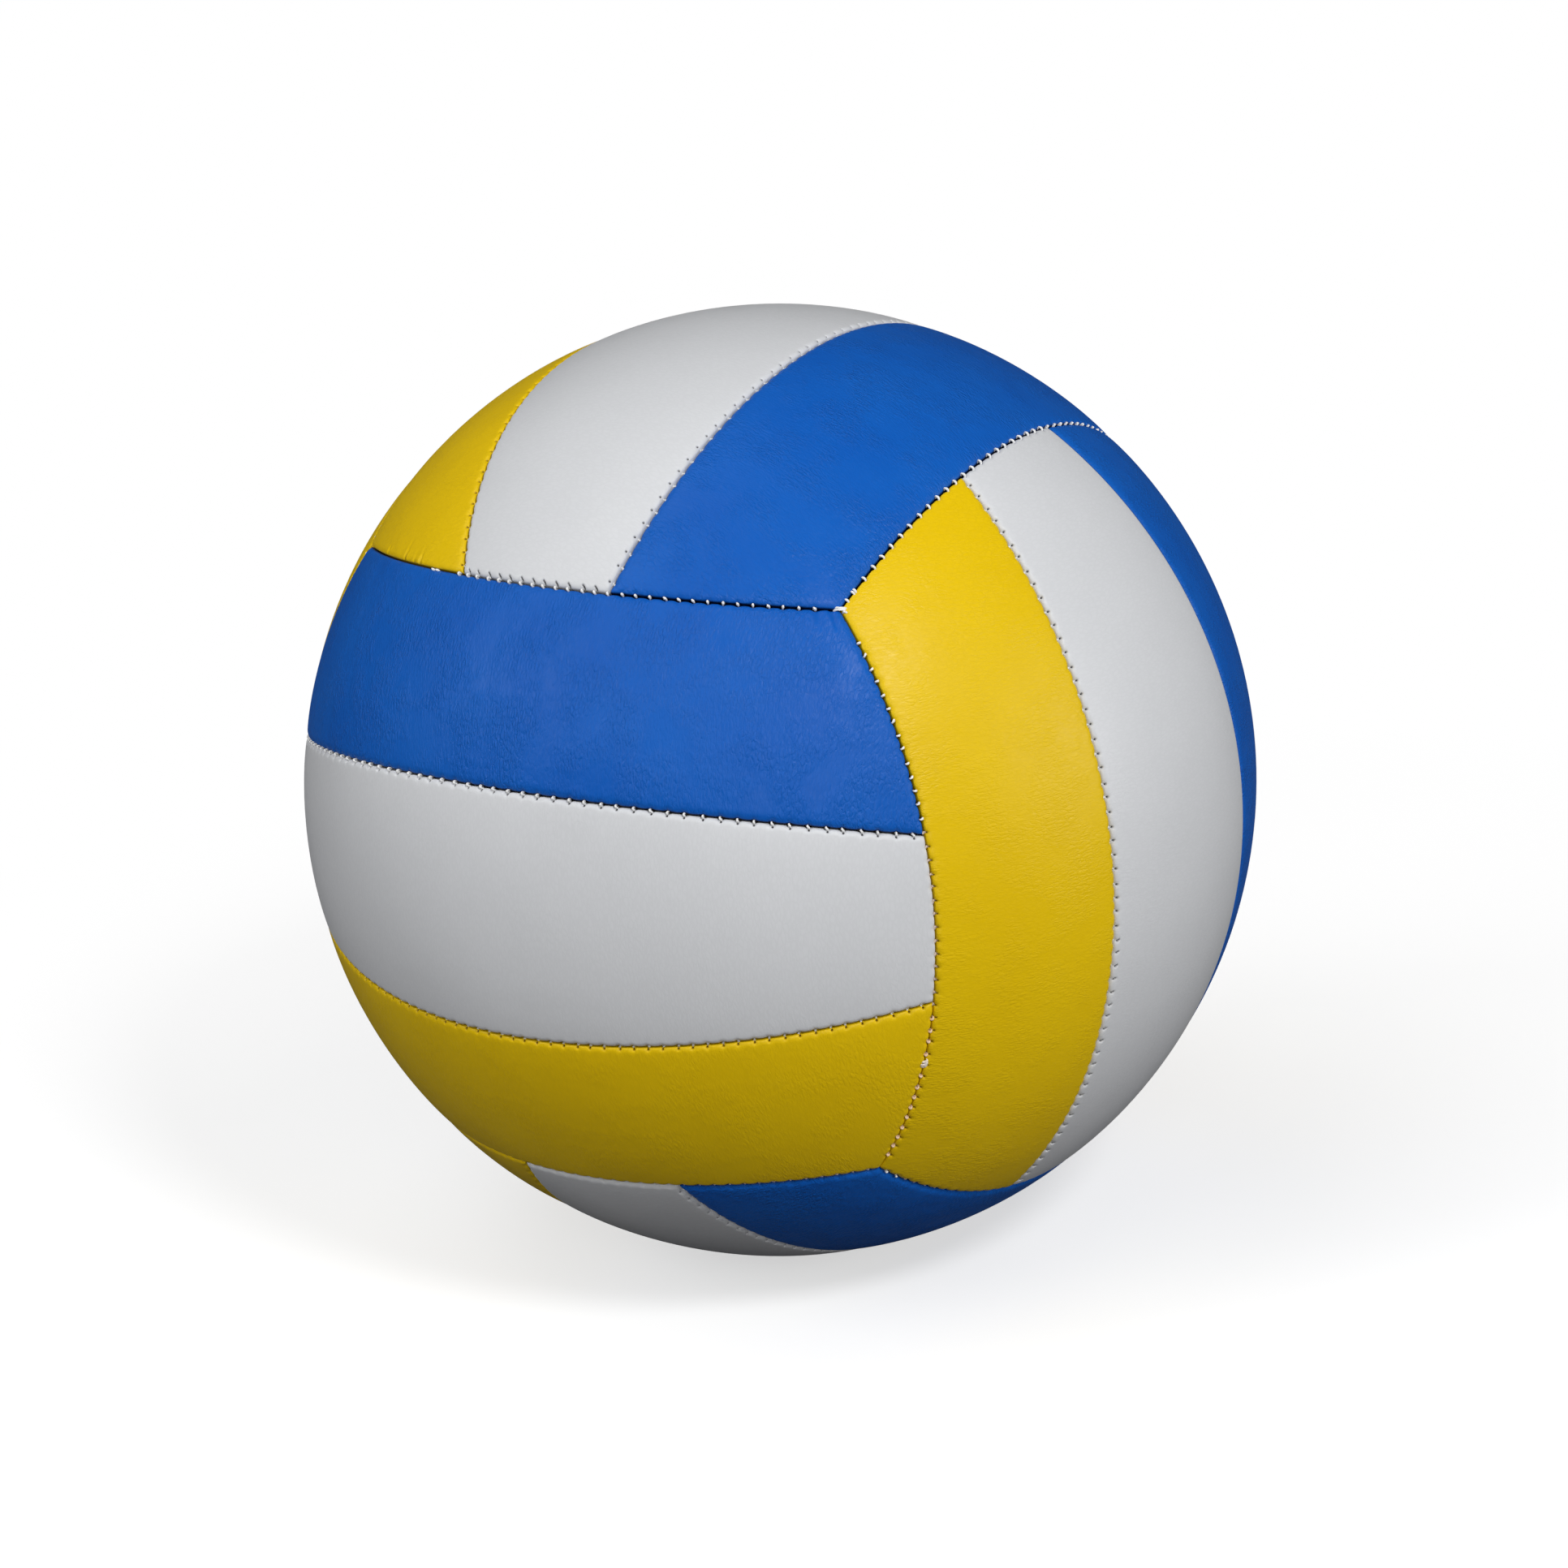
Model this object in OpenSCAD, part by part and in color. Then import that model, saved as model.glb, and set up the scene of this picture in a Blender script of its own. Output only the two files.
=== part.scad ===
// Volleyball: an inflated ball of 18 sewn panels over a rubber bladder.
// The origin is the ball's centre. +Z is up, the front face looks along -Y and the valve along +Y.

/* [Ball] */
// Diameter over the cover of the inflated ball
ball_d = 210; // [190:1:225]

/* [Cover layers] */
// Thickness of the synthetic leather skin of a panel
skin_t = 0.8; // [0.7:0.05:1.4]
// Thickness of the foam backing under the skin
foam_t = 2.6; // [1.6:0.1:4]
// Thickness of the cloth lining under the foam
lining_t = 0.4; // [0.3:0.05:0.8]
// Glue line between two bonded layers
bond_gap = 0.1; // [0.06:0.01:0.15]

/* [Seams] */
// Gap between the turned-in edges of two sewn panels
seam_gap = 0.7; // [0.6:0.05:1]
// Width over which the outer edge of a panel rolls into the seam
roll_w = 0.7; // [0.4:0.05:0.9]
// Depth that the rolled edge drops below the cover
roll_h = 0.6; // [0.3:0.05:0.7]
// Diameter of the sewing thread
thread_d = 0.5; // [0.3:0.05:0.55]
// Depth of the thread's centre line below the cover
thread_depth = 2; // [1.2:0.1:3]

/* [Bladder] */
// Thickness of the bladder's rubber wall
bladder_t = 0.6; // [0.4:0.05:1.2]

/* [Valve] */
// Diameter of the neck that shows in the cover
neck_d = 6; // [5:0.1:8]
// Gap round the neck in each layer that it passes
neck_gap = 0.1; // [0.05:0.05:0.3]
// Depth of the neck's mouth below the cover
neck_recess = 0.3; // [0.1:0.1:0.8]
// Diameter of the bore that takes an inflating needle
needle_bore_d = 2.2; // [1.8:0.1:2.6]
// Length of the needle bore, from the mouth to the core
needle_bore_h = 7; // [5:0.5:9]
// Diameter of the flange bonded inside the bladder
flange_d = 22; // [16:1:28]
// Thickness of that flange
flange_t = 1.2; // [0.8:0.1:2]
// Diameter of the stem that holds the core
stem_d = 9; // [8.5:0.1:12]
// Depth from the mouth to the stem's lower end
stem_h = 21; // [18:0.5:26]
// Diameter of the self-closing core
core_d = 5; // [4:0.1:6]
// Gap round the core in its seat
core_gap = 0.1; // [0.05:0.05:0.2]
// Diameter of the air hole in the stem's lower end
air_hole_d = 3; // [2:0.1:3.6]
// Thickness of the lip that holds the core
lip_t = 1.5; // [1:0.1:3]
// Width of the slit through the core
slit_w = 0.2; // [0.1:0.05:0.4]
// Length of the slit across the core
slit_l = 2.4; // [1:0.1:3.6]
// Diameter of the reinforcing patch round the valve
patch_d = 34; // [28:1:44]
// Thickness of the reinforcing patch
patch_t = 0.6; // [0.4:0.1:1]

/* [Hidden] */
BLUE = [0.05, 0.27, 0.66];
WHITE = [0.82, 0.83, 0.84];
YELLOW = [0.86, 0.72, 0.06];
FOAM = [0.88, 0.86, 0.80];
CLOTH = [0.72, 0.70, 0.64];
THREAD = [0.92, 0.92, 0.90];
RUBBER = [0.13, 0.13, 0.14];
BUTYL = [0.30, 0.27, 0.25];

$fn = 180;

ball_r = ball_d / 2;
foam_r = ball_r - skin_t - bond_gap;
lining_r = foam_r - foam_t - bond_gap;
cover_in_r = lining_r - lining_t;
bladder_r = cover_in_r - bond_gap;
bladder_in_r = bladder_r - bladder_t;
// Overrun of a cutting solid past the ball
reach = 0.5 * ball_r;

// Each face of the ball: its name, its outward normal, the way its strips run and the way they are
// stacked, from the yellow strip to the blue one.
FACES = [
    ["front", [0, -1, 0], [1, 0, 0], [0, 0, 1]],
    ["right", [1, 0, 0], [0, 0, 1], [0, 1, 0]],
    ["back", [0, 1, 0], [1, 0, 0], [0, 0, 1]],
    ["left", [-1, 0, 0], [0, 0, 1], [0, 1, 0]],
    ["top", [0, 0, 1], [0, 1, 0], [1, 0, 0]],
    ["bottom", [0, 0, -1], [0, 1, 0], [1, 0, 0]]
];
// Each strip of a face: its colour's name, its place across the face and its colour.
STRIPS = [["yellow", -1, YELLOW], ["white", 0, WHITE], ["blue", 1, BLUE]];

// Angles, in degrees, of the seams of a regular ball: from a face's normal to the middle of its long
// outer seam, and to the seam between its white strip and the next.
outer_seam_angle = 38.6;
inner_seam_angle = 15.5;

// Seams as this ball is sewn: the face, the side of it and the angle at the middle of the outer seam.
// A seam that isn't listed has the regular angle.
sewn_outer_seams = [
    ["front", 1, 38.4],
    ["front", -1, 37.3],
    ["left", -1, 36.5],
    ["top", 1, 40],
    ["bottom", 1, 38.9],
    ["bottom", -1, 38.5]
];
// The same for the inner seams, with the angles at the start, middle and end of the strip.
sewn_inner_seams = [
    ["front", 1, [17.5, 15.1, 13.1]],
    ["front", -1, [14.7, 14.4, 17]],
    ["right", -1, [15.8, 15.2, 17.5]],
    ["right", 1, [18.5, 15.3, 13]],
    ["top", 1, [16.6, 14.4, 11.3]],
    ["top", -1, [16.4, 19.4, 17.3]],
    ["bottom", 1, [19, 16.7, 15.1]],
    ["bottom", -1, [15.5, 16.6, 15.3]]
];
// Corners where three faces meet, as sewn: the signs of the corner's X, Y and Z, and by how many degrees
// it sits round from, and above, the corner of a cube.
sewn_corners = [
    [[1, -1, 1], 0.5, -1.3],
    [[1, -1, -1], -0.2, -0.3],
    [[-1, -1, 1], -5.3, 1.3],
    [[-1, -1, -1], 0, -0.8],
    [[1, 1, 1], 1.8, 2.7]
];

function piece_name(face, strip, layer) = str(face[0], "_", strip[0], "_", layer);
function unit(v) = v / norm(v);
function signs(v) = [for (k = v) sign(k)];

// The direction of a corner, from the signs of its coordinates.
function corner(s) =
    let (
        sewn = [for (k = sewn_corners) if (k[0] == s) k],
        round = atan2(s[1], s[0]) + (len(sewn) > 0 ? sewn[0][1] : 0),
        above = s[2] * atan(sqrt(0.5)) + (len(sewn) > 0 ? sewn[0][2] : 0)
    )
    [cos(round) * cos(above), sin(round) * cos(above), sin(above)];

// The circle through three directions of the unit ball: its axis, on the side that the vector up points
// to, and its height along that axis.
function circle_through(a, b, c, up) =
    let (n = unit(cross(b - a, c - a)), axis = n * up < 0 ? -n : n)
    [axis, axis * a];

// The long outer seam on one side of a face.
function outer_seam(face, side) =
    let (
        sewn = [for (k = sewn_outer_seams) if (k[0] == face[0] && k[1] == side) k[2]],
        angle = len(sewn) > 0 ? sewn[0] : outer_seam_angle,
        middle = cos(angle) * face[1] + sin(angle) * side * face[3]
    )
    circle_through(seam_corner(face, side, -1), middle, seam_corner(face, side, 1), side * face[3]);
function seam_corner(face, side, end) = corner(signs(face[1] + side * face[3] + end * face[2]));

// The seam between the white strip and the one on its given side.
function inner_seam(face, side) =
    let (
        sewn = [for (k = sewn_inner_seams) if (k[0] == face[0] && k[1] == side) k[2]],
        angles = len(sewn) > 0 ? sewn[0] : [1, 1, 1] * inner_seam_angle,
        spots = [for (k = [0 : 2]) let (along = 45 * (k - 1))
            sin(along) * face[2]
            + cos(along) * (cos(angles[k]) * face[1] + sin(angles[k]) * side * face[3])]
    )
    circle_through(spots[0], spots[1], spots[2], side * face[3]);

// The seam that closes a face's strips at one end: the outer seam of the face next to it.
function end_seam(face, end) =
    let (next = [for (k = FACES) if (k[1] == end * face[2]) k][0], side = face[1] * next[3])
    outer_seam(next, side);

// Where two seam circles cross, on the side that the vector up points to.
function seam_crossing(p, q, up) =
    let (
        c = p[0] * q[0],
        a = (p[1] - q[1] * c) / (1 - c * c),
        b = (q[1] - p[1] * c) / (1 - c * c),
        base = a * p[0] + b * q[0],
        way = cross(p[0], q[0]),
        rest = sqrt((1 - base * base) / (way * way))
    )
    way * up < 0 ? base - rest * way : base + rest * way;

// Turns local +Z to an axis, with local +X towards a given direction.
module along_axis(axis, towards) {
    x = unit(towards - (towards * axis) * axis);
    y = cross(axis, x);
    multmatrix([[x[0], y[0], axis[0], 0], [x[1], y[1], axis[1], 0], [x[2], y[2], axis[2], 0]])
        children();
}

// A ball about the origin, with its poles on the line of a face's strips and its seam behind the face.
module face_ball(face, r) {
    along_axis(face[2], -face[1]) sphere(r = r);
}

// Everything on the axis side of a seam, with sides square to the cover that stand off the seam by grow.
module seam_side(face, seam, grow) {
    angle = acos(seam[1]);
    out = [sin(angle), cos(angle)];
    square_to = [cos(angle), -sin(angle)];
    along_axis(seam[0], -face[1])
        rotate_extrude()
            polygon([
                [0, -grow / sin(angle)],
                (ball_r + reach) * out + grow * square_to,
                [3 * ball_r, 3 * ball_r],
                [0, 3 * ball_r]
            ]);
}

// The groove along a seam, as a ring of V section: its flanks are the rolled edges of the two panels.
module seam_groove(face, seam) {
    angle = acos(seam[1]);
    out = [sin(angle), cos(angle)];
    square_to = [cos(angle), -sin(angle)];
    half_gap = seam_gap / 2;
    root_h = roll_h * (half_gap + roll_w) / roll_w;
    half_w = half_gap + 2 * roll_w;
    along_axis(seam[0], -face[1])
        rotate_extrude()
            polygon([
                (ball_r - root_h) * out,
                (ball_r + roll_h) * out + half_w * square_to,
                (ball_r + roll_h) * out - half_w * square_to
            ]);
}

// The four seams round a strip: those at its ends, the one on its outer side and the one on its inner
// side. The white strip has an inner seam on both sides.
function end_seams(face) = [end_seam(face, -1), end_seam(face, 1)];
function side_seams(face, place) =
    place == 0
        ? [inner_seam(face, -1), inner_seam(face, 1)]
        : [inner_seam(face, place), outer_seam(face, place)];

// One strip of a layer between two radii, drawn in from its seams by inset.
module strip_layer(face, place, outer_r, inner_r, inset) {
    sides = side_seams(face, place);
    difference() {
        intersection() {
            difference() {
                face_ball(face, outer_r);
                face_ball(face, inner_r);
            }
            seam_side(face, end_seams(face)[0], -inset);
            seam_side(face, end_seams(face)[1], -inset);
            if (place != 0) seam_side(face, sides[0], -inset);
        }
        if (place == 0) seam_side(face, sides[0], inset);
        seam_side(face, sides[1], inset);
    }
}

// The hole that the valve's neck passes, through the cover of the back's white strip.
module neck_hole(face, place) {
    if (face[0] == "back" && place == 0)
        rotate([-90, 0, 0]) cylinder(d = neck_d + 2 * neck_gap, h = ball_r + reach);
}

// The skin of a panel: a tray whose rim is the edge turned in at its seams.
module cover_panel(face, strip) {
    seams = concat(end_seams(face), side_seams(face, strip[1]));
    color(strip[2])
    difference() {
        strip_layer(face, strip[1], ball_r, cover_in_r, seam_gap / 2);
        strip_layer(face, strip[1], ball_r - skin_t, cover_in_r - skin_t, seam_gap / 2 + skin_t);
        seam_groove(face, seams[0]);
        seam_groove(face, seams[1]);
        seam_groove(face, seams[2]);
        seam_groove(face, seams[3]);
        neck_hole(face, strip[1]);
    }
}

// A layer inside that tray, between two radii.
module backing_layer(face, strip, outer_r, inner_r) {
    difference() {
        strip_layer(face, strip[1], outer_r, inner_r, seam_gap / 2 + skin_t + bond_gap);
        neck_hole(face, strip[1]);
    }
}

module foam_backing(face, strip) {
    color(FOAM) backing_layer(face, strip, foam_r, foam_r - foam_t);
}

module cloth_lining(face, strip) {
    color(CLOTH) backing_layer(face, strip, lining_r, cover_in_r);
}

// The thread in one seam, between two directions of the seam's circle.
module thread_run(seam, from, to) {
    thread_r = ball_r - thread_depth;
    radius = thread_r * sqrt(1 - seam[1] * seam[1]);
    start = from - seam[1] * seam[0];
    finish = to - seam[1] * seam[0];
    sweep = acos(unit(start) * unit(finish));
    // The run stops short of the seams that it ends at, clear of their thread.
    stop_short = (2 * seam_gap / radius) * 180 / PI;
    axis = cross(start, finish) * seam[0] < 0 ? -seam[0] : seam[0];
    along_axis(axis, start)
        translate([0, 0, thread_r * seam[1] * (axis * seam[0])])
            rotate([0, 0, stop_short])
                rotate_extrude(angle = sweep - 2 * stop_short)
                    translate([radius, 0]) circle(d = thread_d, $fn = 24);
}

// The sewing thread: one run in each of the 12 outer and 12 inner seams.
module seam_thread() {
    color(THREAD)
    for (face = FACES)
        for (side = [-1, 1]) {
            outer = outer_seam(face, side);
            inner = inner_seam(face, side);
            thread_run(outer, seam_corner(face, side, -1), seam_corner(face, side, 1));
            thread_run(
                inner,
                seam_crossing(inner, end_seam(face, -1), face[1]),
                seam_crossing(inner, end_seam(face, 1), face[1])
            );
        }
}

// A round shell between two radii, cut to a disc about +Z.
module shell_disc(outer_r, inner_r, d) {
    intersection() {
        difference() {
            sphere(r = outer_r);
            sphere(r = inner_r);
        }
        cylinder(d = d, h = ball_r);
    }
}

// The valve's own frame: +Z outward along the ball's +Y.
module at_valve() {
    rotate([-90, 0, 0]) children();
}

module bladder() {
    color(BUTYL)
    difference() {
        sphere(r = bladder_r);
        sphere(r = bladder_in_r);
        at_valve() cylinder(d = neck_d + 2 * neck_gap, h = ball_r);
    }
}

module valve_patch() {
    patch_r = bladder_in_r - bond_gap;
    color(RUBBER)
    at_valve()
        difference() {
            shell_disc(patch_r, patch_r - patch_t, patch_d);
            cylinder(d = neck_d + 2 * neck_gap, h = ball_r);
        }
}

mouth_z = ball_r - neck_recess;
core_top_z = mouth_z - needle_bore_h;
stem_end_z = mouth_z - stem_h;
core_seat_z = stem_end_z + lip_t;
flange_r = bladder_in_r - 2 * bond_gap - patch_t;

// The valve: neck, flange and stem moulded in one, with the needle bore and the core's seat.
module valve_body() {
    flange_root_z = flange_r - flange_t / 2;
    color(RUBBER)
    at_valve()
        difference() {
            union() {
                translate([0, 0, flange_root_z]) cylinder(d = neck_d, h = mouth_z - flange_root_z);
                shell_disc(flange_r, flange_r - flange_t, flange_d);
                translate([0, 0, stem_end_z]) cylinder(d = stem_d, h = flange_root_z - stem_end_z);
            }
            translate([0, 0, core_top_z]) cylinder(d = needle_bore_d, h = needle_bore_h + reach);
            translate([0, 0, core_seat_z])
                cylinder(d = core_d + 2 * core_gap, h = core_top_z - core_seat_z);
            // The air hole ends inside the core's seat, below the needle bore.
            translate([0, 0, stem_end_z - reach])
                cylinder(d = air_hole_d, h = reach + lip_t + (core_top_z - core_seat_z) / 2);
        }
}

// The self-closing core, with the slit that a needle parts.
module valve_core() {
    color(BUTYL)
    at_valve()
        difference() {
            translate([0, 0, core_seat_z]) cylinder(d = core_d, h = core_top_z - core_seat_z - core_gap);
            translate([-slit_l / 2, -slit_w / 2, core_seat_z - reach])
                cube([slit_l, slit_w, core_top_z - core_seat_z + 2 * reach]);
        }
}

for (face = FACES)
    for (strip = STRIPS) {
        cover_panel(face, strip);
        foam_backing(face, strip);
        cloth_lining(face, strip);
    }
seam_thread();
bladder();
valve_patch();
valve_body();
valve_core();
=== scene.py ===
import math
from collections import namedtuple

import bpy
import numpy as np
from mathutils import Matrix, Vector
from mathutils.geometry import delaunay_2d_cdt


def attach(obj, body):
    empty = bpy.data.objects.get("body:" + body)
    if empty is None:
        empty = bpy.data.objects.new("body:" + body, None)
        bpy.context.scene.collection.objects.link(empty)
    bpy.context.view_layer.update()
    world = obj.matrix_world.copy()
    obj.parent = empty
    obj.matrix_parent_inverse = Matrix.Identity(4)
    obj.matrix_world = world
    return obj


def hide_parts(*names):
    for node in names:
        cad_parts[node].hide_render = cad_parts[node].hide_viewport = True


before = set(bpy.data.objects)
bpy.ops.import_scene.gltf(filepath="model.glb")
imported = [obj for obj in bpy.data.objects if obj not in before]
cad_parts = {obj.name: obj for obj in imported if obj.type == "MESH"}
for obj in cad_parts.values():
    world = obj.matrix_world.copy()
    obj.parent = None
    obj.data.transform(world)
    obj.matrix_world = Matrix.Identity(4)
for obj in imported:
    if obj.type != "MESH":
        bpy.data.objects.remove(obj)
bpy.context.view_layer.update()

# A sewn volleyball of 18 panels. A length is in millimetres unless its name ends in _M or _m, an angle
# that is written as a number is in degrees, and a direction is a unit vector from the middle of the ball.
MM = 0.001
TINY = 1e-12  # keeps a division from a zero length
BALL_R = 105.0
FOOT_R = 101.1  # where the turned-in edge of a panel ends
INNER_R = 104.16  # underside of a panel's skin, just clear of its foam backing

# Seams

# name: outward normal, the way the strips run, the way they are stacked from yellow to blue
FACES = {
    "front": ((0, -1, 0), (1, 0, 0), (0, 0, 1)),
    "right": ((1, 0, 0), (0, 0, 1), (0, 1, 0)),
    "back": ((0, 1, 0), (1, 0, 0), (0, 0, 1)),
    "left": ((-1, 0, 0), (0, 0, 1), (0, 1, 0)),
    "top": ((0, 0, 1), (0, 1, 0), (1, 0, 0)),
    "bottom": ((0, 0, -1), (0, 1, 0), (1, 0, 0)),
}
FACES = {k: tuple(np.array(v, float) for v in f) for k, f in FACES.items()}
# colour: the seams on either side of the strip, each with its kind, its side of the face, and the side of
# it that the strip lies on, which is 1 away from the seam's axis and -1 towards it
STRIPS = {
    "yellow": (("outer", -1, 1), ("inner", -1, -1)),
    "white": (("inner", -1, 1), ("inner", 1, 1)),
    "blue": (("inner", 1, -1), ("outer", 1, 1)),
}
# The angle from the middle of a face to its seams: the regular ones, then those that were fitted to the
# photograph, by face and side. A seam is a circle through three points. An outer one runs from corner to
# corner of its face, and an inner one has an angle at each of these places along the strip.
OUTER_ANGLE, INNER_ANGLE = 38.6, 15.5
INNER_PLACES = (-45, 0, 45)
SEWN_OUTER = {("front", 1): 38.4, ("front", -1): 37.3, ("left", -1): 36.5, ("top", 1): 40,
              ("bottom", 1): 38.9, ("bottom", -1): 38.5}
SEWN_INNER = {
    ("front", 1): (17.5, 15.1, 13.1), ("front", -1): (14.7, 14.4, 17),
    ("right", -1): (15.8, 15.2, 17.5), ("right", 1): (18.5, 15.3, 13),
    ("top", 1): (16.6, 14.4, 11.3), ("top", -1): (16.4, 19.4, 17.3),
    ("bottom", 1): (19, 16.7, 15.1), ("bottom", -1): (15.5, 16.6, 15.3),
}
# How far a corner is turned about Z and raised from its regular place, by the signs of its coordinates
SEWN_CORNERS = {(1, -1, 1): (0.5, -1.3), (1, -1, -1): (-0.2, -0.3), (-1, -1, 1): (-5.3, 1.3),
                (-1, -1, -1): (0, -0.8), (1, 1, 1): (1.8, 2.7)}


def unit(v):
    return v / np.linalg.norm(v)


def unit_rows(v):
    return v / np.linalg.norm(v, axis=1, keepdims=True)


def corner(signs):
    """The direction of a corner of three faces, from the signs of its coordinates."""
    turn, rise = SEWN_CORNERS.get(tuple(int(k) for k in signs), (0, 0))
    around = math.atan2(signs[1], signs[0]) + math.radians(turn)
    above = signs[2] * math.atan(math.sqrt(0.5)) + math.radians(rise)
    return np.array([math.cos(around) * math.cos(above), math.sin(around) * math.cos(above),
                     math.sin(above)])


def face_corner(face, side, end):
    normal, run, stack = FACES[face]
    return corner(np.sign(normal + side * stack + end * run))


def circle_through(a, b, c, up):
    """The circle through three directions: its axis, on the side that up points to, and its cosine."""
    normal = unit(np.cross(b - a, c - a))
    axis = -normal if normal @ up < 0 else normal
    return axis, float(axis @ a)


def crossing(p, q, up):
    """Where two circles of the unit ball cross, on the side that up points to."""
    c = p[0] @ q[0]
    a = (p[1] - q[1] * c) / (1 - c * c)
    b = (q[1] - p[1] * c) / (1 - c * c)
    base = a * p[0] + b * q[0]
    way = np.cross(p[0], q[0])
    rest = math.sqrt((1 - base @ base) / (way @ way))
    return base - rest * way if way @ up < 0 else base + rest * way


def outer_circle(face, side):
    normal, _, stack = FACES[face]
    angle = math.radians(SEWN_OUTER.get((face, side), OUTER_ANGLE))
    middle = math.cos(angle) * normal + math.sin(angle) * side * stack
    return circle_through(face_corner(face, side, -1), middle, face_corner(face, side, 1), side * stack)


def inner_circle(face, side):
    normal, run, stack = FACES[face]
    spots = []
    for place, angle in zip(INNER_PLACES, SEWN_INNER.get((face, side), (INNER_ANGLE,) * 3)):
        along, a = math.radians(place), math.radians(angle)
        spots.append(math.sin(along) * run
                     + math.cos(along) * (math.cos(a) * normal + math.sin(a) * side * stack))
    return circle_through(*spots, side * stack)


def end_key(face, end):
    """The outer seam that closes a face's strips at one end."""
    normal, run, _ = FACES[face]
    following = [k for k, f in FACES.items() if np.allclose(f[0], end * run)][0]
    return ("outer", following, int(round(normal @ FACES[following][2])))


# Stitches

# The looks of a stitch: how far it sits to the side away from its seam's axis, how far it runs along the
# seam and across it, each way, how far it stands proud, how stained it is, and its needle holes on the
# side towards the axis and on the side away from it. A hole has its distance from the seam, its place
# along it from the stitch and its strength, which sets how deep it is and how dark its painted shade is.
Look = namedtuple("Look", "lean slant reach rise stain holes_towards holes_away")
SUNK = -1.2  # the rise of a stitch that is pulled down out of sight
STITCHES = {
    "plain": Look(0.0, 0.14, 0.34, 0.02, 0.0, [(0.66, -0.2, 1.0)], [(0.66, 0.2, 1.0)]),
    "dot": Look(0.0, 0.1, 0.14, 0.14, 0.0, [], []),
    "slit": Look(0.12, 0.05, 0.26, 0.1, 0.0,
                 [(0.48, 0.28, 1.0), (0.76, 0.06, 1.0), (1.04, -0.16, 0.8)], []),
    "oval": Look(0.0, 0.1, 0.26, 0.12, 0.0, [], []),
    "bead": Look(0.0, 0.1, 0.22, 0.1, 0.85, [], [(0.68, 0.1, 1.0)]),
    "bar": Look(0.0, 0.05, 0.52, 0.16, 0.0, [], []),
    "brown": Look(0.0, 0.1, 0.2, SUNK, 0.6, [], [(0.45, 0.0, 0.8)]),
    "deep": Look(0.0, 0.1, 0.2, -0.4, 0.6, [], []),
    "rim": Look(0.05, 0.1, 0.22, 0.13, 0.0, [], [(0.66, 0.12, 1.0)]),
    "yellow side": Look(0.0, 0.1, 0.3, SUNK, 0.0, [(0.55, 0.0, 1.0)], []),
    "white side": Look(0.0, 0.1, 0.3, SUNK, 0.0, [], [(0.88, 0.0, 0.9)]),
    "edge": Look(0.0, 0.1, 0.3, SUNK, 0.0, [], [(0.62, 0.0, 1.0)]),
    "faint": Look(0.0, 0.1, 0.3, SUNK, 0.0, [], [(1.15, 0.0, 0.8)]),
    "notch": Look(0.0, 0.1, 0.3, SUNK, 0.0, [], [(0.88, -0.1, 1.0), (1.18, 0.12, 0.95)]),
    "none": None,
}
END = math.inf
# For each seam that shows: the pitch of its stitches, how far the first and the last stand from its ends,
# and its looks, each with the place that it runs to
SEWING = {
    ("outer", "front", 1): (3.05, 1.6, 5.4, [(51, "none"), (92.8, "slit"), (END, "dot")]),
    ("outer", "right", -1): (2.87, 4.7, 7.8, [(44, "bead"), (83, "brown"), (END, "oval")]),
    ("outer", "top", 1): (3.36, 8.4, 2.4, [(80, "bar"), (END, "dot")]),
    ("outer", "front", -1): (3.3, 2.4, 2.4, [(END, "deep")]),
    ("outer", "bottom", 1): (3.3, 2.4, 2.4, [(9, "dot"), (END, "deep")]),
    ("inner", "front", 1): (3.55, 2.6, 2.6, [(END, "rim")]),
    ("inner", "front", -1): (3.15, 2.4, 2.4, [(END, "yellow side")]),
    ("inner", "right", -1): (3.06, 2.6, 2.6, [(75, "notch"), (END, "edge")]),
    ("inner", "right", 1): (3.3, 2.4, 2.4, [(END, "none")]),
    ("inner", "top", 1): (3.5, 2.4, 2.4, [(END, "white side")]),
    ("inner", "top", -1): (3.2, 2.4, 2.4, [(END, "yellow side")]),
}
# The same for the other seams, whose looks go by kind and side
PITCH, MARGIN = 3.3, 2.4
COMMON = {("outer", -1): "plain", ("outer", 1): "plain",
          ("inner", -1): "faint", ("inner", 1): "white side"}
JITTER, SKEW = 0.22, 0.14  # how far a stitch strays along its seam, and how far it slants either way
PULL = (0.75, 1.2)  # the least and the most that a stitch is pulled
RECEDE = 0.17  # how far a panel's edge gives way at a stitch
BULGE = 0.07  # and how far it swells into the seam between two of them
SUNK_GIVE, SUNK_BULGE = 0.3, 0.05  # the share of RECEDE, and the swell, where the stitch is out of sight
NARROW_GROOVE_SHADES = {  # seams with a thinner painted shade in their groove, and the share of its width that is left
    ("outer", "right", -1): 0.5,
    ("outer", "bottom", 1): 0.7,
    ("inner", "right", -1): 0.4,
    ("inner", "top", 1): 0.6,
}
PAST = 3  # how many stitches the points along a seam run on past its ends
random = np.random.default_rng(31)


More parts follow.
